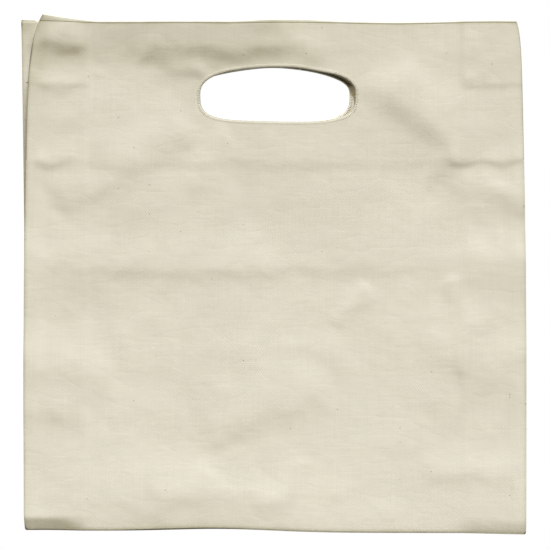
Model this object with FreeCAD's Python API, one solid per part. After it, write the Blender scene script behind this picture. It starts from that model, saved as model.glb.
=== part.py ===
import FreeCAD, Part
import math
import os

# A canvas carrying bag with a hand hole cut through both sides, and a gusset folded into each side.
# X runs across the bag, the front faces -Y, and Z is up. The origin is where the hand bears: the top
# edge of the hand holes, between the two sides. All lengths are in millimetres.

# Sizes of the bag.
BAG_WIDTH = 357.0
BAG_HEIGHT = 363.0
CANVAS = 0.8  # thickness of one layer of cloth
GUSSET_HALF = 46.0  # a gusset is twice this wide when it is pulled flat
FACING_DEPTH = 98.0  # second layer round the hand hole, from the mouth down
GUSSET_HEM = 44.0
GUSSET_DROP = 0.5  # the gussets end this far below the mouth
SEAM_ALLOWANCE = 9.5
REST_LEAN = 1.0  # degrees that the empty bag's front stands away from its back

# Sizes of a hand hole, which is a superellipse, squarer below than above.
HOLE_WIDTH = 110.0
HOLE_HEIGHT = 40.0
HOLE_DROP = 31.0  # from the mouth to the top of the hole
HOLE_SHIFT = 2.0  # the front hole sits this far right of centre, and the back one as far left
SQUARENESS_ABOVE = 2.3
SQUARENESS_BELOW = 3.0
OUTLINE_POINTS = 48

# Sewing thread, as the height and depth of a row of stitches.
THREAD = 0.3
LOCK_STITCH = 0.6
OVERLOCK_WRAP = 0.8  # what the overlock adds beyond a raw edge
OVERLOCK_REACH = 3.0  # how far it lies over the cloth
RIM_WRAP = 0.5  # the same for the tighter rim of a hand hole
STITCH_INSET = 2.0  # a row of stitches lies this far from its edge

# Room at the gusset creases and round the bottom seam, which are the pivots of the opening mouth.
FOLD_GAP = 0.2
SEAM_GAP = 0.4

# Distances outwards from the middle plane to the inside of each layer of one side.
GUSSET_LAYER = FOLD_GAP
TURNED_LAYER = GUSSET_LAYER + CANVAS
LINING_LAYER = TURNED_LAYER + CANVAS
PANEL_LAYER = LINING_LAYER + CANVAS
OUTSIDE = PANEL_LAYER + CANVAS

# Heights and widths that follow.
MOUTH = HOLE_DROP
BOTTOM = MOUTH - BAG_HEIGHT
FLOOR_TOP = BOTTOM + CANVAS
FACING_END = MOUTH - FACING_DEPTH
GUSSET_TOP = MOUTH - GUSSET_DROP
HEM_END = GUSSET_TOP - GUSSET_HEM
EDGE = BAG_WIDTH / 2
CREASE = EDGE - GUSSET_HALF
ALLOWANCE_END = EDGE - SEAM_ALLOWANCE
HINGE = FreeCAD.Vector(0, 0, BOTTOM)


def block(x, y, z):
    """A box from three (low, high) pairs."""
    low = FreeCAD.Vector(min(x), min(y), min(z))
    return Part.makeBox(abs(x[1] - x[0]), abs(y[1] - y[0]), abs(z[1] - z[0]), low)


def joined(*shapes):
    """One solid from shapes that share faces."""
    return shapes[0].multiFuse(list(shapes[1:])).removeSplitter()


def hole_prism(grow, centre, y):
    """A hand hole, grown by that much all round and as deep as the pair y, as a solid."""
    half_width = HOLE_WIDTH / 2 + grow
    half_height = HOLE_HEIGHT / 2 + grow
    points = []
    for step in range(OUTLINE_POINTS):
        turn = 2 * math.pi * step / OUTLINE_POINTS
        power = 2 / (SQUARENESS_ABOVE if math.sin(turn) >= 0 else SQUARENESS_BELOW)
        across = math.copysign(abs(math.cos(turn)) ** power, math.cos(turn))
        up = math.copysign(abs(math.sin(turn)) ** power, math.sin(turn))
        x = centre + half_width * across
        z = half_height * up - HOLE_HEIGHT / 2
        points.append(FreeCAD.Vector(x, y[0], z))
    outline = Part.BSplineCurve()
    outline.interpolate(points, PeriodicFlag=True)
    face = Part.Face(Part.Wire(outline.toShape()))
    return face.extrude(FreeCAD.Vector(0, y[1] - y[0], 0))


def panel(centre):
    """One sheet of canvas, turned in along both sides and under at the bottom, with its hand hole."""
    sheet = block((-EDGE, EDGE), (PANEL_LAYER, OUTSIDE), (BOTTOM, MOUTH))
    turned_under = block((-EDGE, EDGE), (FOLD_GAP, PANEL_LAYER), (BOTTOM, FLOOR_TOP))
    turned_in = [
        block((side * ALLOWANCE_END, side * EDGE), (LINING_LAYER, PANEL_LAYER), (FLOOR_TOP, FACING_END))
        for side in (-1, 1)
    ]
    whole = joined(sheet, turned_under, *turned_in)
    for side in (-1, 1):
        whole = whole.cut(side_seam_thread(side))
    whole = whole.cut(hole_prism(OVERLOCK_REACH, centre, (OUTSIDE - THREAD, 2 * OUTSIDE)))
    return whole.cut(hole_prism(RIM_WRAP, centre, (0, 2 * OUTSIDE)))


def facing(centre):
    """The second layer of canvas inside the mouth, round the hand hole."""
    strip = block((-EDGE, EDGE), (LINING_LAYER, PANEL_LAYER), (FACING_END, MOUTH))
    for side in (-1, 1):
        strip = strip.cut(side_seam_thread(side))
    return strip.cut(hole_prism(RIM_WRAP, centre, (0, OUTSIDE)))


def facing_overlock():
    """The thread over the raw lower edge of the facing."""
    reach = ALLOWANCE_END - 2 * OVERLOCK_WRAP
    wrap = block((-reach, reach), (LINING_LAYER, PANEL_LAYER), (FACING_END - OVERLOCK_WRAP, FACING_END))
    inside = (LINING_LAYER - THREAD, LINING_LAYER)
    lap = block((-reach, reach), inside, (FACING_END - OVERLOCK_WRAP, FACING_END + OVERLOCK_REACH))
    return joined(wrap, lap)


def hole_rim(centre):
    """The overlock round a hand hole, which binds panel and facing and lies flush with the panel."""
    rim = hole_prism(OVERLOCK_REACH, centre, (LINING_LAYER - THREAD, OUTSIDE))
    cloth = hole_prism(OVERLOCK_REACH + CANVAS, centre, (LINING_LAYER, OUTSIDE - THREAD))
    cloth = cloth.cut(hole_prism(RIM_WRAP, centre, (0, 2 * OUTSIDE)))
    return rim.cut(cloth).cut(hole_prism(0, centre, (0, 2 * OUTSIDE)))


def gusset_half(side):
    """One half of a gusset, from its side seam to its crease, with its turned hem at the mouth."""
    body = block((side * CREASE, side * EDGE), (GUSSET_LAYER, TURNED_LAYER), (FLOOR_TOP, GUSSET_TOP))
    turned_in = block((side * ALLOWANCE_END, side * EDGE), (TURNED_LAYER, LINING_LAYER), (FLOOR_TOP, GUSSET_TOP))
    hem = block((side * CREASE, side * ALLOWANCE_END), (TURNED_LAYER, LINING_LAYER), (HEM_END, GUSSET_TOP))
    whole = joined(body, turned_in, hem)
    return whole.cut(side_seam_thread(side)).cut(hem_stitching(side))


def hem_stitching(side):
    """The row of lock stitches along the lower edge of a gusset half's hem."""
    low = HEM_END + STITCH_INSET
    across = (side * (CREASE + STITCH_INSET), side * (EDGE - STITCH_INSET))
    return block(across, (GUSSET_LAYER, GUSSET_LAYER + THREAD), (low, low + LOCK_STITCH))


def side_seam_thread(side):
    """The lock stitch that joins a gusset half to its panel, sunk between their turned-in edges."""
    depth = (LINING_LAYER - THREAD, LINING_LAYER + THREAD)
    return block((side * (EDGE - LOCK_STITCH), side * EDGE), depth, (FLOOR_TOP, GUSSET_TOP))


def side_seam_overlock(side):
    """The overlock on the raw inner edges of a side seam: two layers, and one under the facing."""
    across = (side * (ALLOWANCE_END - OVERLOCK_WRAP), side * ALLOWANCE_END)
    on_gusset = block(across, (TURNED_LAYER, LINING_LAYER), (FLOOR_TOP, HEM_END))
    on_panel = block(across, (LINING_LAYER, PANEL_LAYER), (FLOOR_TOP, FACING_END))
    return joined(on_gusset, on_panel)


def bottom_allowance():
    """The turned-up edges of both panels at the bottom seam, between the gussets."""
    across = (-CREASE + STITCH_INSET, CREASE - STITCH_INSET)
    top = BOTTOM + SEAM_ALLOWANCE
    of_back = block(across, (FOLD_GAP, FOLD_GAP + CANVAS), (FLOOR_TOP, top))
    of_front = block(across, (FOLD_GAP - CANVAS, FOLD_GAP), (FLOOR_TOP + SEAM_GAP, top))
    return joined(of_back, of_front)


def bottom_overlock():
    """The overlock over the top of the bottom seam's turned-up edges."""
    across = (-CREASE + STITCH_INSET, CREASE - STITCH_INSET)
    top = BOTTOM + SEAM_ALLOWANCE
    faces = (FOLD_GAP - CANVAS - THREAD, FOLD_GAP + CANVAS + THREAD)
    wrap = block(across, faces, (top - OVERLOCK_REACH, top + OVERLOCK_WRAP))
    cloth = block(across, (FOLD_GAP - CANVAS, FOLD_GAP + CANVAS), (BOTTOM, top))
    return wrap.cut(cloth)


def bottom_thread():
    """The two threads of the lock stitch through the bottom seam, one on each face of its edges."""
    across = (-CREASE + STITCH_INSET, CREASE - STITCH_INSET)
    low = FLOOR_TOP + STITCH_INSET
    faces = (FOLD_GAP - CANVAS - THREAD, FOLD_GAP + CANVAS)
    rows = [block(across, (y, y + THREAD), (low, low + LOCK_STITCH)) for y in faces]
    return Part.makeCompound(rows)


def one_side(name, hole_centre):
    """The named pieces of one side, built outwards from the middle plane towards +Y."""
    pieces = {
        name + "_panel": panel(hole_centre),
        name + "_top_facing": facing(hole_centre),
        name + "_facing_overlock": facing_overlock(),
        name + "_hole_edge_stitching": hole_rim(hole_centre),
    }
    for side_name, side in (("left", -1), ("right", 1)):
        pieces[side_name + "_gusset_" + name + "_half"] = gusset_half(side)
        pieces[side_name + "_" + name + "_gusset_hem_stitching"] = hem_stitching(side)
        pieces[side_name + "_" + name + "_side_seam_thread"] = side_seam_thread(side)
        pieces[side_name + "_" + name + "_side_seam_overlock"] = side_seam_overlock(side)
    return pieces


def as_front(shape):
    """A piece mirrored to the front and leaned out about the bottom seam."""
    mirrored = shape.mirror(FreeCAD.Vector(0, 0, 0), FreeCAD.Vector(0, 1, 0))
    mirrored.rotate(HINGE, FreeCAD.Vector(1, 0, 0), REST_LEAN)
    return mirrored


pieces = one_side("back", -HOLE_SHIFT)
for name, shape in one_side("front", HOLE_SHIFT).items():
    pieces[name] = as_front(shape)
pieces["bottom_seam_allowance"] = bottom_allowance()
pieces["bottom_seam_overlock"] = bottom_overlock()
pieces["bottom_seam_thread"] = bottom_thread()

os.makedirs("parts", exist_ok=True)
for name, shape in pieces.items():
    shape.exportStep("parts/" + name + ".step")
    box = shape.BoundBox
    print(f"{name}: valid {shape.isValid()}, {len(shape.Solids)} solids, {shape.Volume:.0f} mm3, "
          f"Y {box.YMin:.2f} to {box.YMax:.2f}, Z {box.ZMin:.1f} to {box.ZMax:.1f}")
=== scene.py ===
import math
import bpy
import numpy as np
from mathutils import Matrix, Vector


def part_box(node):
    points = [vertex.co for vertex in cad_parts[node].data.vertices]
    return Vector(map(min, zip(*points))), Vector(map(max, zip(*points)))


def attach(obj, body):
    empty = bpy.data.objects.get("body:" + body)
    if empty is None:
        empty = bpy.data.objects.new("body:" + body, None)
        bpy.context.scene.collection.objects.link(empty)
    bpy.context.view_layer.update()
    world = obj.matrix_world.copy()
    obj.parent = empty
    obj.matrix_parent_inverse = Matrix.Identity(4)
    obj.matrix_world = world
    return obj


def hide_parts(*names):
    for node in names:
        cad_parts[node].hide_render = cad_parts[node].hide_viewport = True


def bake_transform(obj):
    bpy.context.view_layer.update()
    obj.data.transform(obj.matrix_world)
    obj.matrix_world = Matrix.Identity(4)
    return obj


# A flat canvas picking bag: two panels with a bound hand hole, a facing inside each mouth, and a gusset
# folded into each side. Every sheet is a grid drawn flat in millimetres, folded and creased by formula,
# and then given its thickness. Lengths are in millimetres until a mesh is made, in metres.

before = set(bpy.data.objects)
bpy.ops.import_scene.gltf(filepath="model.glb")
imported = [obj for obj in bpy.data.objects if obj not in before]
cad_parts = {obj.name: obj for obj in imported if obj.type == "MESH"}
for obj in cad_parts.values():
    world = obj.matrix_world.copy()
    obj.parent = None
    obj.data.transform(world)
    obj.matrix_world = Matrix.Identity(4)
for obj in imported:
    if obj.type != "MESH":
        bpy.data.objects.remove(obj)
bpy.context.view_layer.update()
MM = 0.001
join = np.concatenate


def box_mm(node):
    """The lowest and highest corner of a CAD node, in millimetres."""
    low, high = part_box(node)
    return np.array(low) / MM, np.array(high) / MM


# Sizes that the CAD frame gives.
panel_low, panel_high = box_mm("back_panel")
facing_low = box_mm("back_top_facing")[0]
gusset_low, gusset_high = box_mm("right_gusset_back_half")
hem_low = box_mm("right_back_gusset_hem_stitching")[0]
rim_low, rim_high = box_mm("front_hole_edge_stitching")
EDGE = panel_high[0]
MOUTH = panel_high[2]
BOTTOM = panel_low[2]
OUTSIDE = panel_high[1]
FACING_END = facing_low[2]
CREASE = gusset_low[0]
GUSSET_TOP = gusset_high[2]
FLOOR_TOP = gusset_low[2]

# Sizes of the cloth and of the sewing.
CANVAS = 0.8  # room for one layer
HALF_CLOTH = 0.35  # half the thickness of the cloth itself
FOLD = CANVAS / 2  # radius of a flat fold
FOLD_POINTS = 7  # along a flat fold
CREASE_POINTS = 4  # round the crease of a gusset, beyond the flat part
BOTTOM_ROUND = 1.2  # radius where a panel turns under
PANEL_TOP = MOUTH - 1.2  # where panel and facing end at the mouth
FACING_TOP = MOUTH - 0.9
ALLOWANCE = 9.5  # cloth turned in at a seam
OVERLOCK_REACH = 3.0
LEG_GAP = 1.6  # between the two legs of one overlock stitch
STITCH_INSET = 2.0  # of a row of stitches from its edge
HEM_END = hem_low[2] - STITCH_INSET
LEAN = math.radians(1.0)  # of the front about the bottom seam, as in the CAD
GRID = 1.78  # spacing of a sheet's mesh
SINK = 0.5  # share of the room of a missing layer that the panels settle into

# Distances outwards from the middle plane to the middle of each layer.
PANEL = OUTSIDE - CANVAS / 2
LINING = PANEL - CANVAS
TURNED = LINING - CANVAS
GUSSET = TURNED - CANVAS

# Sizes of a hand hole, which is a superellipse, squarer below than above.
HOLE_WIDTH = rim_high[0] - rim_low[0] - 2 * OVERLOCK_REACH
HOLE_HEIGHT = 40.0
HOLE_SHIFT = (rim_high[0] + rim_low[0]) / 2
SQUARENESS_ABOVE = 2.3
SQUARENESS_BELOW = 3.5
RIM_WRAP = 0.5  # the cloth ends this far outside the bound edge
HOLE_MIDDLE = -HOLE_HEIGHT / 2
HOLE_AREA = 0.89 * HOLE_WIDTH * HOLE_HEIGHT  # the share of its box that it fills
WINDOW = (72.0, 34.0)  # half the width and height of the patch of mesh round a hole
WINDOW_ROWS = (HOLE_MIDDLE - WINDOW[1], HOLE_MIDDLE + WINDOW[1])
RINGS = 10  # of quads between the edge of that patch and the hole

END_NAME = {-1: "left", 1: "right"}

# Distances between the stitches of an overlock.
RIM_PITCH = 1.15
FACING_PITCH = 2.2
SEAM_PITCH = 2.4

# Soft spots of painted shade on the outside: x, z, width and height.
SHADE_PATCHES = [(-40, 8, 95, 13), (-156, 8, 22, 10), (5, 28, 22, 7)]
EDGE_SHADE_PATCHES = [(-180, 5, 15, 32), (-66, BOTTOM, 45, 8)]


# ---------------- shape of the hanging cloth

# Creases pressed into the whole bag: the line in (x, z), the height of the ridge towards the front, and
# how far it spreads on the left of the line and on the right, looking along it.
CREASES = [
    # The bag was folded in half.
    ([(-200, -136), (-150, -140), (-104, -138)], 1.5, 14, 20),
    ([(-126, -145), (-60, -143), (6, -142)], 0.75, 15, 5),
    ([(-12, -142), (40, -142), (130, -141)], 0.45, 15, 5),
    ([(116, -138), (150, -140), (200, -141)], 1.4, 11, 18),
    # Drag lines from the hand hole to both sides.
    ([(66, -5), (90, -22), (114, -42), (138, -76)], 1.7, 17, 9),
    ([(104, -70), (134, -78), (190, -98)], 0.9, 9, 8),
    ([(-164, -99), (-103, -72), (-54, -34)], 0.9, 14, 8),
    ([(-126, -82), (-72, -94), (-16, -92)], 1.0, 20, 20),
    ([(110, -86), (140, -92), (178, -98)], 0.7, 8, 16),
    ([(-30, -44), (-52, -62), (-60, -92)], 0.4, 8, 6),
    # The mouth above the hole.
    ([(-104, 14), (-70, 15), (-36, 13), (4, 14)], 0.3, 6, 5),
    ([(-98, 9), (-74, 2), (-48, -5)], 0.8, 6, 4),
    ([(-180, 16.5), (-156, 17.5), (-132, 16)], 1.35, 9, 4.2),
    ([(96, 12), (120, 8), (150, 12)], 0.35, 8, 6),
    # The lower ends of the facing and of the gusset hems, where they print through.
    ([(118, -66), (146, -67.5), (180, -67)], 0.45, 6, 2),
    ([(-174, -66), (-156, -67), (-138, -66)], 0.4, 6, 2.6),
    ([(-172, -14), (-158, -15), (-141, -14)], 0.3, 5, 2.6),
    ([(133, -8), (140, -9), (148, -9)], 0.3, 4, 2.4),
    # Softer waves lower down.
    ([(-200, -211), (-150, -215), (-112, -210)], 1.6, 14, 22),
    ([(118, -180), (150, -178), (195, -184)], 0.6, 12, 14),
    ([(100, -196), (140, -203), (195, -216)], 1.2, 14, 24),
    ([(-40, -206), (10, -212), (70, -204)], 0.9, 18, 26),
    ([(-58, -263), (-6, -244), (44, -226)], 0.8, 14, 9),
    ([(-120, -252), (-92, -247), (-60, -251)], 0.4, 10, 9),
    ([(104, -246), (122, -243), (140, -249)], 0.5, 10, 8),
    ([(-195, -246), (-152, -243), (-128, -247)], 0.4, 9, 8),
    ([(104, -290), (140, -289), (176, -291)], 0.5, 8, 5),
    ([(-170, -300), (-100, -306), (-30, -303)], 0.5, 14, 9),
    ([(-16, -318), (8, -300), (20, -276)], 0.35, 5, 5),
    ([(-92, -305), (-50, -303), (20, -309)], 0.6, 9, 9),
    ([(44, -186), (56, -168), (66, -152)], 0.5, 5, 6),
    ([(124, -148), (132, -171), (131, -222)], 0.5, 5, 4),
]


def smooth(value, low, high):
    """0 up to low, 1 from high, and an S curve between."""
    t = np.clip((value - low) / (high - low), 0, 1)
    return t * t * (3 - 2 * t)


def spot(x, z, across, up, width, height, power=2):
    """A soft spot round (across, up), 1 at its middle; a higher power makes it flatter from side to side."""
    return np.exp(-(((x - across) / width) ** power) - ((z - up) / height) ** 2)


def ripples(x, z, size, seed, waves=10):
    """A soft random field, mostly from -1 to 1, with waves about size millimetres long."""
    rng = np.random.default_rng(seed)
    total = np.zeros_like(x)
    for _ in range(waves):
        turn, phase = rng.uniform(0, 2 * np.pi, 2)
        length = size * rng.uniform(0.7, 1.6)
        total += np.sin(2 * np.pi * (x * np.cos(turn) + z * np.sin(turn)) / length + phase)
    return total / math.sqrt(waves)


def crease(x, z, line, height, left, right):
    """A rounded ridge along a line, dying away at both ends, with its own spread on either side."""
    reach = 4 * max(left, right)
    (low_x, low_z), (high_x, high_z) = np.min(line, axis=0) - reach, np.max(line, axis=0) + reach
    near = (x > low_x) & (x < high_x) & (z > low_z) & (z < high_z)
    total = np.zeros_like(x)
    total[near] = ridge(x[near], z[near], line, height, left, right)
    return total


def ridge(x, z, line, height, left, right):
    """The same, worked out at every point given."""
    nearest = np.full(x.shape, np.inf)
    signed = np.zeros_like(x)
    along = np.zeros_like(x)
    travelled = 0.0
    for (x0, z0), (x1, z1) in zip(line, line[1:]):
        length = math.hypot(x1 - x0, z1 - z0)
        dx, dz = (x1 - x0) / length, (z1 - z0) / length
        t = np.clip((x - x0) * dx + (z - z0) * dz, 0, length)
        away = np.hypot(x - x0 - t * dx, z - z0 - t * dz)
        side = np.where((z - z0) * dx - (x - x0) * dz >= 0, 1.0, -1.0)
        closer = away < nearest
        nearest = np.where(closer, away, nearest)
        signed = np.where(closer, side, signed)
        along = np.where(closer, travelled + t, along)
        travelled += length
    spread = np.where(signed > 0, left, right)
    end = min(0.4 * travelled, max(8, 1.3 * left, 1.3 * right))
    fade = smooth(along, 0, end) * smooth(travelled - along, 0, end)
    return height * fade * np.exp(-0.5 * (nearest / spread) ** 2)


def crumples(count, seed, longest, height, spread):
    """Short shallow creases scattered over the whole bag, lying more level than upright."""
    rng = np.random.default_rng(seed)
    made = []
    for _ in range(count):
        x, z = rng.uniform(-EDGE, EDGE), rng.uniform(BOTTOM, MOUTH)
        turn, length = rng.normal(0, 0.6), longest * rng.uniform(0.25, 1)
        bend = rng.uniform(-0.2, 0.2) * length
        dx, dz = math.cos(turn) * length / 2, math.sin(turn) * length / 2
        line = [(x - dx, z - dz), (x - dz / length * bend, z + dx / length * bend), (x + dx, z + dz)]
        left, right = spread * rng.uniform(0.6, 1.6), spread * rng.uniform(0.5, 1)
        made.append((line, height * rng.uniform(0.3, 1), left, right))
    return made


CRUMPLES = crumples(60, 13, 60, 0.13, 4.5) + crumples(170, 14, 26, 0.07, 2.2)


def bulge(x, z):
    """How far the whole bag stands towards the front at a point, layers and all."""
    # The creases wander a little about their lines.
    warped_x = x + 2.4 * ripples(x, z, 36, 31)
    warped_z = z + 1.6 * ripples(x, z, 30, 32)
    total = sum(crease(warped_x, warped_z, *fold) for fold in CREASES)
    total += sum(crease(x, z, *fold) for fold in CRUMPLES)
    total += lip(warped_x, warped_z, z) - foot_roll(x, z)
    for height, size, seed in ((0.38, 110, 3), (0.055, 34, 5), (0.02, 13, 7)):
        total += height * ripples(x, z, size, seed)
    return total


def lip(warped_x, warped_z, z):
    """How far the mouth hangs forwards: only on the left of a line that runs down from its middle.

    Between that line and a place left of the hole it also bends more sharply."""
    boundary = 15 + 0.55 * (MOUTH - z)
    left_of_it = 1 - smooth(warped_x, boundary - 26, boundary + 18)
    lean = 3.5 * smooth(z, -4, 60)
    bend = 0.9 * smooth(warped_x, -100, -84) * smooth(warped_z, 2, 15)
    return left_of_it * (lean + bend)


def foot_roll(x, z):
    """How far the cloth turns back at the bottom seam: a little everywhere, and the left corner most."""
    corners = smooth(-x, CREASE - 6, CREASE + 34) + 0.3 * smooth(x, CREASE - 10, CREASE + 10)
    rolled = np.clip((BOTTOM + ALLOWANCE - z) / ALLOWANCE, 0, 1)
    return 0.5 * np.exp(-(z - BOTTOM) / 6) + 5.4 * corners * smooth(rolled, -0.25, 1.5)


def round_hole(x, z, centre):
    """How far outside a hand hole a point lies, and how high: -1 is level with its bottom, 1 with its top."""
    across = (x - centre) / (HOLE_WIDTH / 2)
    up = (z - HOLE_MIDDLE) / (HOLE_HEIGHT / 2)
    beyond = (1 - superellipse_reach(across, up)) * np.hypot(x - centre, z - HOLE_MIDDLE)
    return np.maximum(beyond, 0), up


def settled(side, x, z):
    """How far a panel and its facing lie from their flat place: inwards where fewer layers are under them.

    The front's rim turns outwards along the top of its hand hole. The back hangs towards the front round
    its own, most at the right end, and bellies out lower down."""
    full_stack = 3  # layers under a panel where gusset, hem and facing all lie
    wander = 1.5 * ripples(z, z, 90, 11)
    gusset = smooth(np.abs(x) + wander, CREASE - 3, CREASE + 4)
    turned = 0.7 * smooth(np.abs(x) + wander, EDGE - ALLOWANCE - 7, EDGE - ALLOWANCE + 4)
    hem = gusset * smooth(z, HEM_END - 4, HEM_END + 1)
    facing = smooth(z + 1.5 * ripples(x, x, 70, 12), FACING_END - 9, FACING_END + 1)
    layers = gusset + np.maximum(hem, turned) + np.maximum(facing, turned)
    out = -SINK * CANVAS * (full_stack - layers)
    if side == "front":
        beyond, up = round_hole(x, z, HOLE_SHIFT)
        out += 0.22 * np.exp(-beyond / 2.2) * smooth(up, 0.0, 0.6)
    else:
        belly = 0.5 * (1 + ripples(x, z, 95, 17)) * (1 - (x / EDGE) ** 2)
        out += belly * smooth(z, BOTTOM, BOTTOM + 80) * (1 - smooth(z, -150, -60))
        out -= 6.2 * np.exp(-((x / 92) ** 4)) * smooth(z, -150, -15)
        out -= 1.5 * spot(x, z, 60, -28, 16, 14)
    return out


def drift(side, x, z):
    """How far a point of the cut outline moves in the hanging bag, in x and z."""
    down = MOUTH - z
    # The sides draw in towards the mouth, but the back's left one stands out. Both left ones draw in a
    # little at the bottom.
    taper = np.clip(1 - down / 300, 0, 1) ** 2
    right = 4.6 * taper + 3.0 * np.exp(-down / 10)
    if side == "front":
        left = 4.4 * taper + 8.2 * np.exp(-down / 15)
    else:
        left = -2.0 * np.clip(1 - down / 150, 0, 1)
    left = left + 0.4 * np.clip((BOTTOM + 14 - z) / 14, 0, 1)
    across = np.where(x > 0, -right, left) * (np.abs(x) / EDGE) ** 4
    # The mouth rises at its left end and waves on the right.
    lift, length = (1.8, 50) if side == "front" else (2.3, 80)
    up = lift * np.clip(1 - (x + EDGE) / length, 0, 1) * np.exp(-down / 30)
    up += 0.6 * np.cos(2 * np.pi * (x - 18) / 142) * smooth(x, -60, 0) * np.exp(-down / 25)
    # The bottom edge rises to the left, arches left of the middle, and drops at its right end.
    foot = np.clip(down / (MOUTH - BOTTOM), 0, 1.05)
    up += 1.8 * (1 - smooth(x, -190, 130)) * foot ** 4
    up += (2.0 * np.exp(-(((x + 38) / 50) ** 2)) - 0.9 * smooth(x, 120, EDGE)) * foot ** 8
    # The upper edge of each hand hole sags, and the lower edge of the front one lifts.
    if side == "back":
        up -= 2.7 * spot(x, z, 4, -4, 56, 12, power=6) - 0.8 * spot(x, z, -2, -4, 15, 12)
    else:
        up -= 1.6 * spot(x, z, 4, -4, 44, 12, power=4) + 0.9 * spot(x, z, 32, -4, 12, 12)
        up += 0.7 * spot(x, z, -20, -HOLE_HEIGHT, 24, 9)
    return across, up


def place(side, x, z, out):
    """Where a point of one side lies: (x, z) on the flat cut, and out from the middle plane."""
    x, z, out = (np.asarray(a, float) for a in np.broadcast_arrays(x, z, out))
    across, up = drift(side, x, z)
    forward = bulge(x, z)
    if side == "back":
        return np.stack([x + across, out - forward, z + up], -1)
    high = z - BOTTOM
    y = -out * math.cos(LEAN) - high * math.sin(LEAN) - forward
    return np.stack([x + across, y, BOTTOM + high * math.cos(LEAN) - out * math.sin(LEAN) + up], -1)


def on_panel(side, x, z, layer):
    """A point of a panel, its facing or the sewing on them, which settle together."""
    return place(side, x, z, layer + settled(side, x, z))


def on_gusset(side, x, z, layer, turn=0.0):
    """A point of a gusset half, whose cloth leaves its panel for the crease between the two sides."""
    x, z, layer, turn = (np.asarray(a, float) for a in np.broadcast_arrays(x, z, layer, turn))
    own = place(side, x, z, layer)
    middle = (place("front", x, z, 0) + place("back", x, z, 0)) / 2
    outward = -1 if side == "front" else 1
    middle[..., 1] += outward * layer * np.cos(turn)
    share = smooth(EDGE - np.abs(x), ALLOWANCE, EDGE - CREASE)[..., None]
    point = own * (1 - share) + middle * share
    point[..., 0] -= np.sign(x) * layer * np.sin(turn)
    return point


# ---------------- meshes

def lines(*stops, step=GRID):
    """Evenly spaced positions from stop to stop, with one exactly on each stop."""
    runs = [
        np.linspace(a, b, max(2, math.ceil(abs(b - a) / step) + 1))[:-1]
        for a, b in zip(stops, stops[1:])
    ]
    return np.append(join(runs), stops[-1])


def grid(columns, rows):
    """The quads of a grid whose vertices are numbered row by row."""
    index = np.arange(columns * rows).reshape(rows, columns)
    corners = [index[:-1, :-1], index[:-1, 1:], index[1:, 1:], index[1:, :-1]]
    return np.stack([c.ravel() for c in corners], -1)


def pairs(x, z):
    """Points (x, z) from two arrays, or from an array and one number."""
    return np.stack(np.broadcast_arrays(x, z), -1)


def drop_unused(quads, *arrays):
    """The same quads and vertex arrays without the vertices that no quad uses."""
    used, numbers = np.unique(quads, return_inverse=True)
    return numbers.reshape(quads.shape), *[a[used] for a in arrays]


def superellipse_reach(across, up):
    """The factor that takes a point, in half widths and half heights, to the hole's outline."""
    power = np.where(up >= 0, SQUARENESS_ABOVE, SQUARENESS_BELOW)
    return (np.abs(across) ** power + np.abs(up) ** power) ** (-1 / power)


def cut_hole(xs, zs, centre, grow):
    """The points and quads of a flat grid with a hand hole, in a patch of rings that fits it."""
    points = pairs(xs, zs[:, None]).reshape(-1, 2)
    quads = grid(len(xs), len(zs))
    middle = np.array([centre, HOLE_MIDDLE])
    window = np.array(WINDOW)
    offset = np.abs(points[quads].mean(1) - middle)
    quads = quads[(offset > window).any(1)]

    left, right = (int(np.argmin(np.abs(xs - middle[0] - s * window[0]))) for s in (-1, 1))
    low, high = (int(np.argmin(np.abs(zs - middle[1] - s * window[1]))) for s in (-1, 1))
    index = np.arange(len(points)).reshape(len(zs), len(xs))
    border = join([
        index[low, left:right],
        index[low:high, right],
        index[high, right:left:-1],
        index[high:low:-1, left],
    ])
    outer = points[border]
    share = (outer - middle) / window
    half = np.array([HOLE_WIDTH, HOLE_HEIGHT]) / 2 + grow
    inner = middle + share * half * superellipse_reach(share[:, 0], share[:, 1])[:, None]
    count = len(border)
    rings = [border]
    for ring in range(RINGS - 1, -1, -1):
        t = (ring / RINGS) ** 1.25
        rings.append(np.arange(len(points), len(points) + count))
        points = join([points, inner * (1 - t) + outer * t])
    for out, inside in zip(rings, rings[1:]):
        quads = join([quads, np.stack([out, np.roll(out, -1), np.roll(inside, -1), inside], -1)])
    return points, quads


def unit(vectors):
    """The same vectors, one unit long."""
    return vectors / np.maximum(np.linalg.norm(vectors, axis=-1, keepdims=True), 1e-9)


def vertex_normals(points, quads):
    """A unit normal at each vertex, weighted by the area of the quads round it."""
    a, b, c, d = (points[quads[:, k]] for k in range(4))
    face = np.cross(c - a, d - b)
    normals = np.zeros_like(points)
    for k in range(4):
        np.add.at(normals, quads[:, k], face)
    return unit(normals)


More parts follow.
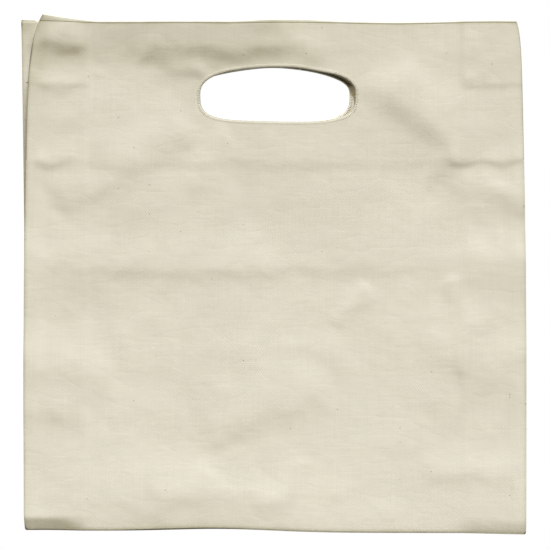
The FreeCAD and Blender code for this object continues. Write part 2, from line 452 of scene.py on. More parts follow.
def thicken(points, quads, half=HALF_CLOTH):
    """A closed mesh from a sheet: both faces and a rounded rim. Also says where each vertex came from."""
    normals = vertex_normals(points, quads)
    starts, ends = quads.ravel(), np.roll(quads, -1, 1).ravel()
    count = len(points)
    edge = ~np.isin(starts * count + ends, ends * count + starts)
    starts, ends = starts[edge], ends[edge]
    outward = np.zeros_like(points)
    for vertex in (starts, ends):
        np.add.at(outward, vertex, np.cross(points[ends] - points[starts], normals[starts]))
    rim, place_in_rim = np.unique(join([starts, ends]), return_inverse=True)
    first, last = place_in_rim[: len(starts)], place_in_rim[len(starts):]
    away = unit(outward[rim])

    layers = [points + half * normals, points - half * normals]
    sources = [np.arange(count), np.arange(count)]
    rings = [rim]
    for turn in np.radians((50, 0, -50)):
        rings.append(np.arange(len(rim)) + sum(len(layer) for layer in layers))
        layers.append(points[rim] + half * (math.sin(turn) * normals[rim] + math.cos(turn) * away))
        sources.append(rim)
    rings.append(rim + count)
    faces = [quads, quads[:, ::-1] + count]
    for upper, lower in zip(rings, rings[1:]):
        faces.append(np.stack([upper[last], upper[first], lower[first], lower[last]], -1))
    return join(layers), join(faces), join(sources)


def build(name, points, faces, cloth, wear, material):
    """An object from points in millimetres, lists of equal-sided faces, cloth coordinates and wear."""
    cloth = np.pad(cloth, ((0, 0), (0, 3 - cloth.shape[1])))
    mesh = bpy.data.meshes.new(name)
    mesh.vertices.add(len(points))
    mesh.vertices.foreach_set("co", (points * MM).astype(np.float32).ravel())
    sizes = join([np.full(len(f), f.shape[1]) for f in faces])
    corners = join([f.ravel() for f in faces])
    mesh.loops.add(len(corners))
    mesh.loops.foreach_set("vertex_index", corners.astype(np.int32))
    mesh.polygons.add(len(sizes))
    mesh.polygons.foreach_set("loop_start", (np.cumsum(sizes) - sizes).astype(np.int32))
    mesh.update(calc_edges=True)
    mesh.shade_smooth()
    # The second attribute darkens the cloth from 0 to 1, mostly as painted shade.
    kept = (("cloth", "FLOAT_VECTOR", "vector", cloth * MM), ("wear", "FLOAT", "value", wear))
    for title, kind, key, values in kept:
        attribute = mesh.attributes.new(title, kind, "POINT")
        attribute.data.foreach_set(key, values.astype(np.float32).ravel())
    mesh.materials.append(material)
    obj = bpy.data.objects.new(name, mesh)
    bpy.context.scene.collection.objects.link(obj)
    return obj


def sheet(name, points, quads, flat, wear, material, rim_shade=1.0):
    """A sheet of cloth with its thickness. flat is each point's place on the cut cloth; the last argument
    paints shade on the rim round its cut edges.
    """
    solid, faces, source = thicken(points, quads)
    worn_and_shaded = wear[source]
    # The rounded rim along the cut edges is darkened as painted shade.
    worn_and_shaded[2 * len(points):] = rim_shade
    return build(name, solid, [faces], flat[source], worn_and_shaded, material)


def tubes(name, paths, radius, wear=0.0, sides=6):
    """Threads along paths, an array of (thread, point, xyz), closed at both ends. wear is for each point."""
    count, steps, _ = paths.shape
    worn_and_shaded = np.broadcast_to(np.asarray(wear)[..., None], (count, steps, sides)).ravel()
    tangent = unit(np.gradient(paths, axis=1))
    spine = paths[:, -1] - paths[:, 0]
    bow = paths[:, steps // 2] - (paths[:, -1] + paths[:, 0]) / 2
    across = np.cross(spine, bow)
    weak = np.linalg.norm(across, axis=1) < 1e-3
    across[weak] = np.cross(spine[weak], (0.1, 1.0, 0.2))
    across = across[:, None, :]
    across = unit(across - (across * tangent).sum(2, keepdims=True) * tangent)
    other = np.cross(tangent, across)
    turn = 2 * np.pi * np.arange(sides) / sides
    width = np.full(steps, radius)
    width[[0, -1]] *= 0.6
    ring = np.cos(turn)[:, None] * across[:, :, None] + np.sin(turn)[:, None] * other[:, :, None]
    points = (paths[:, :, None] + width[None, :, None, None] * ring).reshape(-1, 3)

    index = np.arange(count * steps * sides).reshape(count, steps, sides)
    ahead = np.roll(index, -1, 2)
    quads = np.stack([index[:, :-1], ahead[:, :-1], ahead[:, 1:], index[:, 1:]], -1).reshape(-1, 4)
    caps = join([index[:, 0, ::-1], index[:, -1]])
    length = np.cumsum(np.linalg.norm(np.diff(paths, axis=1, prepend=paths[:, :1]), axis=2), axis=1)
    cloth = np.zeros((count, steps, sides, 3))
    cloth[..., 0] = length[:, :, None]
    cloth[..., 1] = turn[None, None, :] * radius
    cloth[..., 2] = np.arange(count)[:, None, None]
    return build(name, points, [quads, caps], cloth.reshape(-1, 3), worn_and_shaded, sewing)


# ---------------- materials

class Graph:
    """Short names for adding nodes to a tree. An input is a plain value or another node's output."""

    def __init__(self, tree):
        self.tree = tree

    def add(self, kind, inputs=(), **settings):
        node = self.tree.nodes.new("ShaderNode" + kind)
        for key, value in settings.items():
            setattr(node, key, value)
        for key, value in dict(inputs).items():
            self.put(node.inputs[key], value)
        return node

    def put(self, socket, value):
        if isinstance(value, bpy.types.NodeSocket):
            self.tree.links.new(value, socket)
        else:
            socket.default_value = value

    def look(self, inputs):
        """Sets inputs of the material's own shader."""
        for key, value in inputs.items():
            self.put(self.tree.nodes["Principled BSDF"].inputs[key], value)

    def math(self, operation, *values):
        return self.add("Math", dict(enumerate(values)), operation=operation).outputs[0]

    def plus(self, first, second):
        return self.math("ADD", first, second)

    def times(self, first, second):
        return self.math("MULTIPLY", first, second)

    def attribute(self, name, output):
        return self.add("Attribute", attribute_name=name).outputs[output]

    def parts(self, vector):
        return self.add("SeparateXYZ", {0: vector}).outputs

    def noise(self, vector, scale, detail=2.0, roughness=0.5):
        """Noise from 0 to 1, of about scale waves in a metre of cloth."""
        inputs = {"Vector": vector, "Scale": scale, "Detail": detail, "Roughness": roughness}
        return self.add("TexNoise", inputs).outputs["Fac"]

    def spread(self, value, low, high, to_low=0.0, to_high=1.0):
        """Maps low..high to to_low..to_high, and stays there outside."""
        inputs = {"Value": value, "From Min": low, "From Max": high, "To Min": to_low, "To Max": to_high}
        return self.add("MapRange", inputs, clamp=True).outputs[0]

    def blend(self, factor, first, second, mode="MIX"):
        """Colours mixed; the sockets of a colour mix are known by number."""
        inputs = {0: factor, 6: first, 7: second}
        return self.add("Mix", inputs, data_type="RGBA", blend_type=mode).outputs[2]

    def grey(self, value):
        return self.add("CombineColor", {"Red": value, "Green": value, "Blue": value}).outputs[0]

    def shade(self, colour, factor):
        """A colour made lighter or darker by a factor."""
        return self.blend(1.0, colour, self.grey(factor), "MULTIPLY")

    def bump(self, height, strength, depth, under=None):
        """A normal from a height that is depth millimetres high, on top of the normal under it."""
        inputs = {"Height": height, "Strength": strength, "Distance": depth * MM}
        if under is not None:
            inputs["Normal"] = under
        return self.add("Bump", inputs).outputs[0]


def new_material(name):
    """A material with one shader, and its graph."""
    material = bpy.data.materials.new(name)
    material.use_nodes = True
    return material, Graph(material.node_tree)


def rgba(red, green, blue):
    return (red, green, blue, 1.0)


def canvas(name, yarn, gap, stain_and_shade):
    """Plain-woven cotton duck: yarns that go over and under, uneven, with seed flecks and slubs."""
    warp_pitch, weft_pitch = 0.97 * MM, 1.37 * MM
    material, g = new_material(name)
    cloth = g.attribute("cloth", "Vector")
    across, up, _ = g.parts(cloth)
    wander = g.math("SUBTRACT", g.noise(cloth, 90.0, 1.0), 0.5)
    u = g.plus(across, g.times(wander, 0.5 * MM))
    v = g.plus(up, g.times(wander, -0.6 * MM))

    # Each yarn is a rounded bar. Where it passes over, its crown shows, and where it dives, a dimple.
    warp = g.math("COSINE", g.times(u, math.pi / warp_pitch))
    weft = g.math("COSINE", g.times(v, math.pi / weft_pitch))
    firm = g.spread(g.noise(cloth, 28.0, 2.0), 0.38, 0.66, 0.15, 0.6)
    over = g.times(g.times(warp, weft), firm)
    bars = g.plus(g.times(g.math("ABSOLUTE", warp), 0.2), g.times(g.math("ABSOLUTE", weft), 0.3))
    weave = g.plus(bars, over)

    # Yarns differ from one to the next, and along their length.
    warp_number = g.math("ROUND", g.math("DIVIDE", u, warp_pitch))
    weft_number = g.math("ROUND", g.math("DIVIDE", v, weft_pitch))
    along_warp = g.add("CombineXYZ", {0: warp_number, 1: g.times(v, 22.0)}).outputs[0]
    along_weft = g.add("CombineXYZ", {0: g.times(u, 30.0), 1: weft_number}).outputs[0]
    warp_shade = g.spread(g.noise(along_warp, 1.0, 1.0), 0.3, 0.7, 0.985, 1.015)
    weft_vary = g.noise(along_weft, 1.0, 1.0)
    weft_shade = g.spread(weft_vary, 0.3, 0.7, -0.02, 0.02)
    slub = g.spread(weft_vary, 0.70, 0.80)

    # Colour: pale crowns and darker gaps as painted shade between the yarns, mottling, darker patches that
    # are mostly painted shade, and flecks.
    colour = g.blend(g.spread(weave, -0.3, 0.9), gap, yarn)
    colour = g.shade(colour, g.plus(warp_shade, weft_shade))
    mottle = g.plus(g.noise(cloth, 13.0, 3.0), g.times(g.noise(cloth, 75.0, 3.0), 0.6))
    colour = g.shade(colour, g.spread(mottle, 0.5, 1.1, 0.97, 1.025))
    colour = g.blend(g.times(slub, 0.22), colour, rgba(0.86, 0.82, 0.70))
    # Olive patches from the attribute are mostly painted shade: above the hole, at the top left, and along
    # folds and edges.
    worn_and_shaded = g.attribute("wear", "Fac")
    patchy = g.times(worn_and_shaded, g.spread(g.noise(cloth, 60.0, 3.0), 0.35, 0.7, 0.5, 1.0))
    colour = g.blend(g.times(patchy, 0.8), colour, stain_and_shade)
    # Painted shadow: where the attribute nears 1 (along the folds, the bottom edge, the mouth and under a
    # hole's upper rim), the colour turns near-black brown.
    colour = g.blend(g.spread(worn_and_shaded, 0.75, 1.0, 0.0, 0.95), colour, rgba(0.08, 0.07, 0.035))
    cells = g.add("TexVoronoi", {"Vector": cloth, "Scale": 90.0}, voronoi_dimensions="2D")
    chance = g.add("SeparateColor", {0: cells.outputs["Color"]})
    seed_husk, pale_lint = rgba(0.27, 0.17, 0.08), rgba(0.92, 0.88, 0.78)
    for draw, least, tint, amount in ((0, 0.95, seed_husk, 0.7), (1, 0.93, pale_lint, 0.6)):
        size = g.spread(chance.outputs[draw], least, least + 0.03, 0.0, 0.036)
        fleck = g.math("LESS_THAN", cells.outputs["Distance"], size)
        colour = g.blend(g.times(fleck, amount), colour, tint)

    # Relief: the weave on fine creases, which are sharp valleys, longer across the bag than up it.
    stretched = g.add("Mapping", {"Vector": cloth, "Scale": (0.45, 1.0, 1.0)}).outputs[0]
    valley = g.math("ABSOLUTE", g.math("SUBTRACT", g.noise(stretched, 62.0, 2.5, 0.55), 0.5))
    fine = g.bump(g.spread(valley, 0.0, 0.07), 0.5, 0.06)
    fibre = g.noise(cloth, 2600.0, 3.0, 0.7)
    height = g.plus(g.plus(weave, g.times(fibre, 0.25)), g.times(slub, 0.5))
    g.look({
        "Base Color": colour,
        "Roughness": g.spread(weave, -0.3, 0.9, 0.98, 0.86),
        "Specular IOR Level": 0.25,
        "Sheen Weight": 0.12,
        "Sheen Roughness": 0.6,
        "Normal": g.bump(height, 0.5, 0.07, fine),
    })
    return material


def thread(name, pale, deep):
    """Spun cotton thread: twisted plies with painted shade in the grooves between them, rough with loose
    fibres, each stitch a little different.
    """
    ply = 0.75 * MM
    material, g = new_material(name)
    cloth = g.attribute("cloth", "Vector")
    along, around, number = g.parts(cloth)
    turns = g.times(g.math("DIVIDE", along, ply), 2 * math.pi)
    twist = g.plus(turns, g.math("DIVIDE", around, 0.25 * MM))
    fuzz = g.noise(cloth, 4000.0, 2.0)
    plies = g.times(g.math("ABSOLUTE", g.math("SINE", twist)), g.spread(fuzz, 0.3, 0.7, 0.75, 1.0))
    stitch = g.noise(number, 700.0, 1.0)
    # The grooves between the plies take the deep colour as painted shade. Where the attribute is 1, under a
    # hole's upper rim, the thread is painted near-black as shadow.
    colour = g.shade(g.blend(plies, deep, pale), g.spread(stitch, 0.3, 0.7, 0.94, 1.04))
    g.look({
        "Base Color": g.blend(g.attribute("wear", "Fac"), colour, rgba(0.07, 0.06, 0.03)),
        "Roughness": g.spread(fuzz, 0.2, 0.8, 0.7, 0.85),
        "Sheen Weight": 0.15,
        "Normal": g.bump(plies, 0.6, 0.12),
    })
    return material


# The gap colour paints shade between the yarns. The olive colour paints shade wherever the cloth is darkened.
canvas_cloth = canvas("canvas", yarn=rgba(0.775, 0.715, 0.56), gap=rgba(0.73, 0.665, 0.505),
                      stain_and_shade=rgba(0.35, 0.30, 0.13))
lining_cloth = canvas("lining_canvas", yarn=rgba(0.765, 0.705, 0.55), gap=rgba(0.72, 0.655, 0.495),
                      stain_and_shade=rgba(0.33, 0.28, 0.12))
sewing = thread("thread", pale=rgba(0.80, 0.745, 0.60), deep=rgba(0.70, 0.635, 0.48))


# ---------------- pieces

def stands_in(obj):
    """A piece stands for the CAD node with its own name less the last word, which is hidden."""
    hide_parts(obj.name.rsplit("_", 1)[0])


def finish_piece(obj, body):
    """A piece that rides on one body."""
    stands_in(obj)
    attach(obj, body)
    return obj


def bend_with_gusset(obj):
    """A piece of a gusset half: its CAD node is hidden, and its place is baked into its mesh."""
    stands_in(obj)
    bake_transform(obj)
    return obj


def darkening(x, z):
    """Painted shade from 0 to 1: most along the side folds and the bottom edge, less in soft patches and
    corners.
    """
    mouth = np.exp(-(MOUTH - z) / 3)
    # Painted shade along the side folds, which turn away from the light, and in a thin line along the bottom
    # edge.
    sides = np.exp(-np.maximum(EDGE - np.abs(x), 0) / 0.9)
    foot = 0.92 * np.exp(-np.maximum(z - BOTTOM - 0.6, 0))
    rim = 3  # width of the soiled ring round the hole
    ring = np.hypot(x / (HOLE_WIDTH / 2 + rim), (z - HOLE_MIDDLE) / (HOLE_HEIGHT / 2 + rim))
    hole = np.exp(-np.maximum(ring - 1, 0) * 9)
    patch_shade = sum(spot(x, z, *soft, power=4) for soft in SHADE_PATCHES)
    edge_patch_shade = sum(spot(x, z, *soft, power=4) for soft in EDGE_SHADE_PATCHES)
    corner = smooth(-x, CREASE - 10, CREASE + 24) * (1 - smooth(z, BOTTOM + 3, BOTTOM + 13))
    # Painted shade in patches above the hole, at the top left, by the left and bottom edges, and in the left
    # bottom corner where the cloth rolls under. The cloth is darkened more faintly along the mouth and round
    # the hand hole.
    light = 0.15 * mouth + 0.1 * hole + 0.34 * patch_shade + 0.4 * corner + 0.4 * edge_patch_shade
    return np.clip(light + 0.95 * sides + foot, 0, 1)


def hole_shadow(x, z, centre):
    """Painted shadow from 0 to 1 of a facing along the upper edge of its hand hole, where the gap between the
    sides lies in shade.
    """
    beyond, up = round_hole(x, z, centre)
    return np.minimum(1.15 * np.exp(-((beyond / 7) ** 2)), 1) * smooth(up, 0.0, 0.4)


def side_fold(path, edge):
    """Cloth that wraps round a straight edge: (x, drop inwards) for a distance along the cloth."""
    start = edge - FOLD
    arc = math.pi * FOLD
    size = np.abs(path)
    turn = np.clip((size - start) / FOLD, 0, math.pi)
    back = np.maximum(size - start - arc, 0)
    x = np.where(size < start, size, start + FOLD * np.sin(turn) - back)
    return np.sign(path) * x, FOLD * (1 - np.cos(turn))


def panel_piece(side, centre):
    """A panel: its face, the edges turned in along both sides, and the part turned under the bottom."""
    face_end = BOTTOM + HALF_CLOTH + BOTTOM_ROUND
    arc = BOTTOM_ROUND * math.pi / 2
    under = PANEL - BOTTOM_ROUND - HALF_CLOTH
    edge = EDGE - HALF_CLOTH
    start = edge - FOLD
    raw = start + math.pi * FOLD + ALLOWANCE - HALF_CLOTH - FOLD

    # Columns: across the face, round the fold of each side, and back to its raw edge.
    fold = lines(start, start + math.pi * FOLD, step=0.25)
    half = join([fold[:-1], lines(fold[-1], raw)])
    face = lines(-start, centre - WINDOW[0], centre + WINDOW[0], start)
    columns = join([-half[::-1], face[1:-1], half])
    # Rows: from the end tucked under the bottom, round its roll, and up the face.
    tuck = lines(face_end - arc - under, face_end - arc, step=0.6)
    roll = lines(face_end - arc, face_end, step=0.4)
    face = lines(face_end, FACING_END, *WINDOW_ROWS, PANEL_TOP)
    rows = join([tuck[:-1], roll[:-1], face])
    flat, quads = cut_hole(columns, rows, centre, RIM_WRAP)

    middle = flat[quads].mean(1)
    turned_in = np.abs(middle[:, 0]) > start
    quads = quads[~turned_in | ((middle[:, 1] > face_end) & (middle[:, 1] < FACING_END))]
    quads, flat = drop_unused(quads, flat)

    x, drop = side_fold(flat[:, 0], edge)
    turn = np.clip((face_end - flat[:, 1]) / BOTTOM_ROUND, 0, math.pi / 2)
    z = np.maximum(flat[:, 1], face_end) - BOTTOM_ROUND * np.sin(turn)
    out = PANEL + settled(side, x, z) - drop
    inner = out - BOTTOM_ROUND * (1 - np.cos(turn))
    tucked = np.clip((face_end - arc - flat[:, 1]) / under, 0, 1)
    out = inner + tucked * (HALF_CLOTH + 0.1 - inner)
    points = place(side, x, z, out)
    # Painted shade: a thin dark line along the mouth, in the crevice where panel and facing meet.
    mouth_edge_shade = 0.94 * np.exp((z - PANEL_TOP) / 0.5)
    wear = np.maximum(darkening(x, z), mouth_edge_shade)
    obj = sheet(side + "_panel_cloth", points, outwards(side, quads), flat, wear, canvas_cloth)
    width = 2 * raw
    length = PANEL_TOP - face_end + arc + under
    corners = 2 * (raw - start) * (MOUTH - FACING_END + arc + under)
    area = width * length - corners - HOLE_AREA
    return obj, (width * MM, length * MM), area * MM * MM


def outwards(side, quads):
    """Quads whose normal points away from the middle plane; a flat grid's own points to the front."""
    return quads if side == "front" else quads[:, ::-1]


def facing_piece(side, centre):
    """The facing: the second layer round the hand hole, which peeps over the panel at the mouth."""
    edge = EDGE - HALF_CLOTH
    low = FACING_END + HALF_CLOTH
    columns = lines(-edge, centre - WINDOW[0], centre + WINDOW[0], edge)
    rows = lines(low, *WINDOW_ROWS, FACING_TOP)
    flat, quads = cut_hole(columns, rows, centre, RIM_WRAP)
    quads, flat = drop_unused(quads, flat)
    x, z = flat.T
    # It peeps out most round the middle, and past the front's left corner.
    peep = 0.7 + 0.7 * np.exp(-(((x - 8) / 28) ** 4))
    if side == "front":
        peep += 3.0 * np.clip(1 - (x + EDGE) / 44, 0, 1)
    z = z + peep * smooth(z, MOUTH - 14, FACING_TOP)
    points = on_panel(side, x, z, LINING)
    # Painted shadow along the upper edge of the hand hole, in the gap behind the front's rim.
    wear = np.maximum(darkening(x, z), hole_shadow(x, z, centre))
    name = side + "_top_facing_cloth"
    obj = sheet(name, points, outwards(side, quads), flat, wear, lining_cloth, rim_shade=0.1)
    width, length = 2 * edge, FACING_TOP - low
    area = width * length - HOLE_AREA
    return obj, (width * MM, length * MM), area * MM * MM


def gusset_piece(side, end):
    """One half of a gusset, from its turned edge in the side seam to its crease, with its hem."""
    edge = EDGE - HALF_CLOTH
    fold_start = edge - FOLD
    crease_middle = CREASE + TURNED
    hem_side = EDGE - ALLOWANCE - 0.5

    # Columns: x, the body's layer there, the turn round the crease, and the distance along the cloth.
    allowance = lines(EDGE - ALLOWANCE, fold_start)[:-1]
    fold = np.linspace(0, math.pi, FOLD_POINTS)
    body = lines(fold_start, hem_side, crease_middle)[1:]
    round_crease = np.full(CREASE_POINTS, crease_middle)
    x = join([allowance, fold_start + FOLD * np.sin(fold), body, round_crease])
    layer = join([
        np.full(len(allowance), TURNED),
        (TURNED + GUSSET) / 2 + FOLD * np.cos(fold),
        np.full(len(body) + CREASE_POINTS, GUSSET),
    ])
    quarter = np.linspace(0, math.pi / 2, CREASE_POINTS + 1)[1:]
    turn = join([np.zeros(len(x) - CREASE_POINTS), quarter])
    steps = np.hypot(np.diff(x), np.diff(layer))
    steps[-CREASE_POINTS:] += GUSSET * math.pi / 2 / CREASE_POINTS
    across = np.append(0, np.cumsum(steps))

    # Rows: up the hem from its raw edge, over the fold at the mouth, and down the body.
    top = GUSSET_TOP - HALF_CLOTH - FOLD
    up = lines(HEM_END, top)[:-1]
    over = np.linspace(0, math.pi, FOLD_POINTS)
    down = lines(top, HEM_END, FLOOR_TOP)[1:]
    z = join([up, top + FOLD * np.sin(over), down])
    raised = join([np.ones(len(up)), (1 + np.cos(over)) / 2, np.zeros(len(down))])
    along = np.append(0, np.cumsum(np.hypot(np.diff(z), np.diff(raised) * CANVAS)))

    body_column = layer == GUSSET
    depth = np.where(body_column[None, :], GUSSET + CANVAS * raised[:, None], layer[None, :])
    points = on_gusset(side, end * x, z[:, None], depth, turn).reshape(-1, 3)
    flat = pairs(across, along[:, None]).reshape(-1, 2)
    quads = grid(len(x), len(z))
    row, column = np.divmod(quads[:, 0], len(x))
    first_hem_column = int(np.argmax(body_column & (x <= hem_side + 1e-6)))
    first_body_row = len(up) + len(over) - 1
    quads = quads[(row >= first_body_row) | (column >= first_hem_column)]
    # Painted shade along the side folds. The cloth is also darker round the crease and near the fold at the
    # mouth.
    wear = np.tile(darkening(x, np.zeros_like(x)) + 0.3 * (turn > 0), len(z))
    wear += 0.5 * np.exp(-np.abs(top - points[:, 2]) / 4)
    quads, points, flat, wear = drop_unused(quads, points, flat, wear)
    if (end > 0) == (side == "front"):
        quads = quads[:, ::-1]
    name = f"{END_NAME[end]}_gusset_{side}_half_cloth"
    obj = sheet(name, points, quads, flat, np.clip(wear, 0, 1), canvas_cloth)
    width, length = across[-1], along[-1]
    hem_width = hem_side - crease_middle + 1
    area = width * (z[first_body_row] - FLOOR_TOP) + hem_width * along[first_body_row]
    return obj, (width * MM, length * MM), area * MM * MM


# ---------------- sewing

AT_EDGE = 4  # which point of an overlock stitch lies on the very edge


def overlock(edge, into, along, reach, wrap, top, low, rng):
    """Stitches over a raw edge: each goes in over one face, round the edge and back over the other.

    edge gives (x, z) for each stitch, into the direction into the cloth, and along how far its two legs
    lie apart. Returns (x, z, out) for every point of every stitch."""
    profile = [
        (reach, top - 0.05), (0.66 * reach, top + 0.1), (0.3 * reach, top + 0.1), (-0.3 * wrap, top - 0.1),
        (-wrap, (top + low) / 2), (-0.3 * wrap, low + 0.1), (0.3 * reach, low - 0.12),
        (0.66 * reach, low - 0.14), (reach, low),
    ]
    into, along = np.asarray(into, float), np.asarray(along, float)
    slant = np.linspace(-0.5, 0.5, len(profile))
    count = len(edge)
    uneven = rng.uniform(0.86, 1.1, count)
    lean = rng.uniform(0.5, 1.0, count)
    points = np.zeros((count, len(profile), 3))
    for k, (inset, out) in enumerate(profile):
        inset = inset * uneven if inset > 0 else np.full(count, inset)
        points[:, k, :2] = edge + into * inset[:, None] + along * (slant[k] * lean)[:, None]
        points[:, k, 2] = out
    return points


def hole_outline(centre, grow, pitch):
    """Evenly spaced points on a hand hole's outline, and the directions outwards and along."""
    turn = np.linspace(0, 2 * np.pi, 2881)  # far finer than the stitches
    across, up = np.cos(turn), np.sin(turn)
    reach = superellipse_reach(across, up)
    x = centre + across * reach * (HOLE_WIDTH / 2 + grow)
    z = up * reach * (HOLE_HEIGHT / 2 + grow) + HOLE_MIDDLE
    length = np.append(0, np.cumsum(np.hypot(np.diff(x), np.diff(z))))
    count = int(length[-1] / pitch)
    stops = np.arange(count) * length[-1] / count
    points = pairs(np.interp(stops, length, x), np.interp(stops, length, z))
    ahead = unit(np.roll(points, -1, 0) - np.roll(points, 1, 0))
    return points, pairs(ahead[:, 1], -ahead[:, 0]), ahead


def hole_rim(side, centre):
    """The close overlock round a hand hole, and the knots that link its stitches along the edge."""
    rng = np.random.default_rng(21 if side == "front" else 22)
    edge, outward, along = hole_outline(centre, RIM_WRAP, RIM_PITCH)
    top, low = PANEL + HALF_CLOTH - 0.1, LINING - HALF_CLOTH + 0.1
    stitches = overlock(edge, outward, along, 1.9, RIM_WRAP - 0.2, top, low, rng)
    t = np.linspace(0, 1, 9)[:, None]
    here = stitches[:, AT_EDGE]
    knots = here[:, None] * (1 - t) + np.roll(here, -1, 0)[:, None] * t
    knots[..., :2] -= 0.12 * outward[:, None]
    knots[..., 2] += 0.5 * np.sin(2 * math.pi * t[:, 0])
    x, z, out = np.moveaxis(join([stitches, knots]), -1, 0)
    # Painted shadow on the legs of the stitches inside the gap, under the upper rim.
    inside = out < (top + low) / 2 + 0.1
    wear = hole_shadow(x, z, centre) * inside
    name = side + "_hole_edge_stitching_threads"
    return tubes(name, on_panel(side, x, z, out), radius=0.21, wear=wear)


def facing_overlock(side):
    """The overlock along the facing's raw lower edge."""
    rng = np.random.default_rng(31 if side == "front" else 32)
    reach = EDGE - ALLOWANCE - 2
    edge = pairs(np.arange(-reach, reach, FACING_PITCH), FACING_END + HALF_CLOTH)
    top, low = LINING + HALF_CLOTH, LINING - HALF_CLOTH - 0.1
    stitches = overlock(edge, (0, 1), (LEG_GAP, 0), OVERLOCK_REACH, 0.7, top, low, rng)
    points = on_panel(side, *np.moveaxis(stitches, -1, 0))
    return tubes(side + "_facing_overlock_threads", points, radius=0.16)


def seam_overlock(side, end):
    """The overlock on the raw edges inside a side seam: both layers, and the gusset's alone higher up."""
    rng = np.random.default_rng(41 + (side == "front") + 2 * (end > 0))
    raw = end * (EDGE - ALLOWANCE)
    edge = pairs(raw, np.arange(FLOOR_TOP + 2, HEM_END - 1, SEAM_PITCH))
    low = TURNED - HALF_CLOTH
    double = edge[:, 1] < FACING_END - 1
    parts = []
    for keep, top in ((double, LINING + HALF_CLOTH), (~double, TURNED + HALF_CLOTH)):
        stitches = overlock(edge[keep], (end, 0), (0, LEG_GAP), OVERLOCK_REACH, 0.6, top, low, rng)
        parts.append(place(side, *np.moveaxis(stitches, -1, 0)))
    name = f"{END_NAME[end]}_{side}_side_seam_overlock_threads"
    return tubes(name, join(parts), radius=0.15)


def lock_stitches(start, stop, pitch=3.0, gap=0.5, points=7):
    """Points along each stitch of a row, as an array of (stitch, point)."""
    first = np.arange(start, stop - pitch, pitch)
    return np.linspace(first + gap / 2, first + pitch - gap / 2, points, axis=1)


def stitch_arch(stitches):
    """How high each point of a row of lock stitches stands over the cloth, from 0 to 1."""
    return np.sin(np.linspace(0, math.pi, stitches.shape[1]))


def seam_thread(side, end):
    """The lock stitches that join a gusset half to its panel, in the groove between their folds."""
    z = lock_stitches(FLOOR_TOP + 1, GUSSET_TOP)
    x = end * (EDGE - 0.75 + 0.3 * stitch_arch(z))
    name = f"{END_NAME[end]}_{side}_side_seam_thread_stitches"
    return tubes(name, place(side, x, z, (TURNED + LINING) / 2), radius=0.2)


def hem_thread(side, end):
    """The row of lock stitches through a gusset half's hem."""
    x = end * lock_stitches(CREASE + STITCH_INSET, EDGE - STITCH_INSET)
    out = GUSSET - HALF_CLOTH + 0.12 - 0.2 * stitch_arch(x)
    name = f"{END_NAME[end]}_{side}_gusset_hem_stitching_threads"
    return tubes(name, on_gusset(side, x, HEM_END + STITCH_INSET, out), radius=0.17)


# The bottom seam, between the gussets: half its length, its ends, and the middle of each turned-up edge.
SEAM_REACH = CREASE - STITCH_INSET
SEAM_LOW = FLOOR_TOP + 0.1
SEAM_TOP = BOTTOM + ALLOWANCE
SEAM_OF_BACK = 0.6
SEAM_OF_FRONT = -0.2
SEAM_BACK_FACE = SEAM_OF_BACK + HALF_CLOTH
SEAM_FRONT_FACE = SEAM_OF_FRONT - HALF_CLOTH


def bottom_allowance():
    """The turned-up edges of both panels inside the bottom seam."""
    across = lines(-SEAM_REACH, SEAM_REACH)
    up = lines(SEAM_LOW, SEAM_TOP, step=1.2)
    flat = pairs(across, up[:, None]).reshape(-1, 2)
    quads = grid(len(across), len(up))
    points, faces, cloth = [], [], []
    for out in (SEAM_OF_BACK, SEAM_OF_FRONT):
        solid, shell, source = thicken(place("back", *flat.T, out), quads)
        faces.append(shell + sum(len(p) for p in points))
        points.append(solid)
        cloth.append(flat[source])
    points, faces, cloth = (join(part) for part in (points, faces, cloth))
    wear = np.full(len(points), 0.3)
    obj = build("bottom_seam_allowance_cloth", points, [faces], cloth, wear, canvas_cloth)
    return obj, (2 * SEAM_REACH * MM, 2 * (SEAM_TOP - SEAM_LOW) * MM)


def bottom_overlock():
    """The overlock over the top of the turned-up edges."""
    rng = np.random.default_rng(51)
    edge = pairs(np.arange(-SEAM_REACH + 1, SEAM_REACH - 1, SEAM_PITCH), SEAM_TOP)
    top, low = SEAM_BACK_FACE + 0.05, SEAM_FRONT_FACE - 0.05
    stitches = overlock(edge, (0, -1), (LEG_GAP, 0), OVERLOCK_REACH, 0.6, top, low, rng)
    points = place("back", *np.moveaxis(stitches, -1, 0))
    return tubes("bottom_seam_overlock_threads", points, radius=0.17)


def bottom_thread():
    """The lock stitches through both turned-up edges, one row on each face."""
    x = lock_stitches(-SEAM_REACH + 1, SEAM_REACH - 1)
    z = FLOOR_TOP + STITCH_INSET + 0.3
    arch = 0.15 * stitch_arch(x)
    rows = [place("back", x, z, out) for out in (SEAM_FRONT_FACE - arch, SEAM_BACK_FACE + arch)]
    return tubes("bottom_seam_thread_stitches", join(rows), radius=0.19)


# ---------------- the bag

for side, centre in (("front", HOLE_SHIFT), ("back", -HOLE_SHIFT)):
    body = side + "_side"
    on_side = [finish_piece(hole_rim(side, centre), body)]
    for end in (-1, 1):
        on_side.append(finish_piece(seam_thread(side, end), body))
        on_side.append(finish_piece(seam_overlock(side, end), body))
        hem = bend_with_gusset(hem_thread(side, end))
        half, flat, area = gusset_piece(side, end)
        bend_with_gusset(half)
    panel, flat, area = panel_piece(side, centre)
    finish_piece(panel, body)
    facing, flat, area = facing_piece(side, centre)
    finish_piece(facing, body)
    facing_edge = finish_piece(facing_overlock(side), body)

strip, flat = bottom_allowance()
finish_piece(strip, "back_side")
sewn = [finish_piece(piece, "back_side") for piece in (bottom_overlock(), bottom_thread())]


# ---------------- stage, light and camera

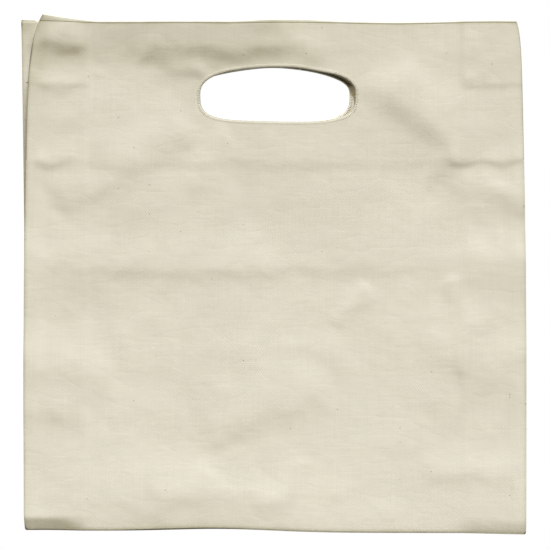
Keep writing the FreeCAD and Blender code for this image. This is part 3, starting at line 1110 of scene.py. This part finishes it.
def add_floor():
    """A plain pale floor well below the hanging bag."""
    mesh = bpy.data.meshes.new("floor")
    count, radius, height = 96, 0.95, -0.85
    turn = 2 * np.pi * np.arange(count) / count
    ring = [(radius * math.cos(t), radius * math.sin(t), height) for t in turn]
    mesh.from_pydata(ring, [], [list(range(count))])
    material, g = new_material("floor_paint")
    coords = g.add("TexCoord").outputs["Object"]
    tone = g.spread(g.noise(coords, 6.0, 4.0), 0.3, 0.7, 0.37, 0.40)
    g.look({"Base Color": g.grey(tone), "Roughness": 0.9})
    mesh.materials.append(material)
    floor = bpy.data.objects.new("floor", mesh)
    bpy.context.scene.collection.objects.link(floor)


def add_sun(name, power, colour, azimuth, elevation, softness):
    """A soft distant light. azimuth 0 shines from the front; angles are in degrees."""
    data = bpy.data.lights.new(name, "SUN")
    data.energy = power
    data.color = colour
    data.angle = math.radians(softness)
    lamp = bpy.data.objects.new(name, data)
    lamp.rotation_euler = (math.radians(90 - elevation), 0, math.radians(azimuth))
    bpy.context.scene.collection.objects.link(lamp)


def add_world():
    """A white backdrop that lights the bag more softly than it looks, and more from above."""
    world = bpy.data.worlds.new("studio")
    bpy.context.scene.world = world
    world.use_nodes = True
    world.node_tree.nodes.clear()
    g = Graph(world.node_tree)
    height = g.parts(g.add("TexCoord").outputs["Generated"])["Z"]
    strength = g.spread(height, -1.0, 1.0, 0.10, 0.52)
    fill = g.add("Background", {"Color": rgba(1.08, 0.96, 0.66), "Strength": strength}).outputs[0]
    seen = g.add("Background", {"Color": rgba(1.0, 1.0, 1.0), "Strength": 1.0}).outputs[0]
    straight = g.add("LightPath").outputs["Is Camera Ray"]
    shown = g.add("MixShader", {0: straight, 1: fill, 2: seen}).outputs[0]
    g.add("OutputWorld", {0: shown})


def add_camera():
    """A long lens, square to the bag and aimed just above the middle of it."""
    view_width = 0.390  # metres across the picture at the front of the bag
    front_of_bag = -0.005
    aim = (MOUTH - 179.4) * MM
    data = bpy.data.cameras.new("camera")
    data.lens = 135
    data.sensor_width = 36
    distance = view_width * data.lens / data.sensor_width
    camera = bpy.data.objects.new("camera", data)
    camera.location = (0.0, front_of_bag - distance, aim)
    camera.rotation_euler = (math.radians(90), 0, 0)
    bpy.context.scene.collection.objects.link(camera)
    bpy.context.scene.camera = camera


add_floor()
add_world()
add_sun("key", power=5.6, colour=(0.91, 1.0, 1.20), azimuth=20, elevation=70, softness=11)
add_sun("back_light", power=2.6, colour=(0.94, 1.0, 1.16), azimuth=205, elevation=52, softness=14)
add_camera()
bpy.context.scene.view_settings.view_transform = "Standard"
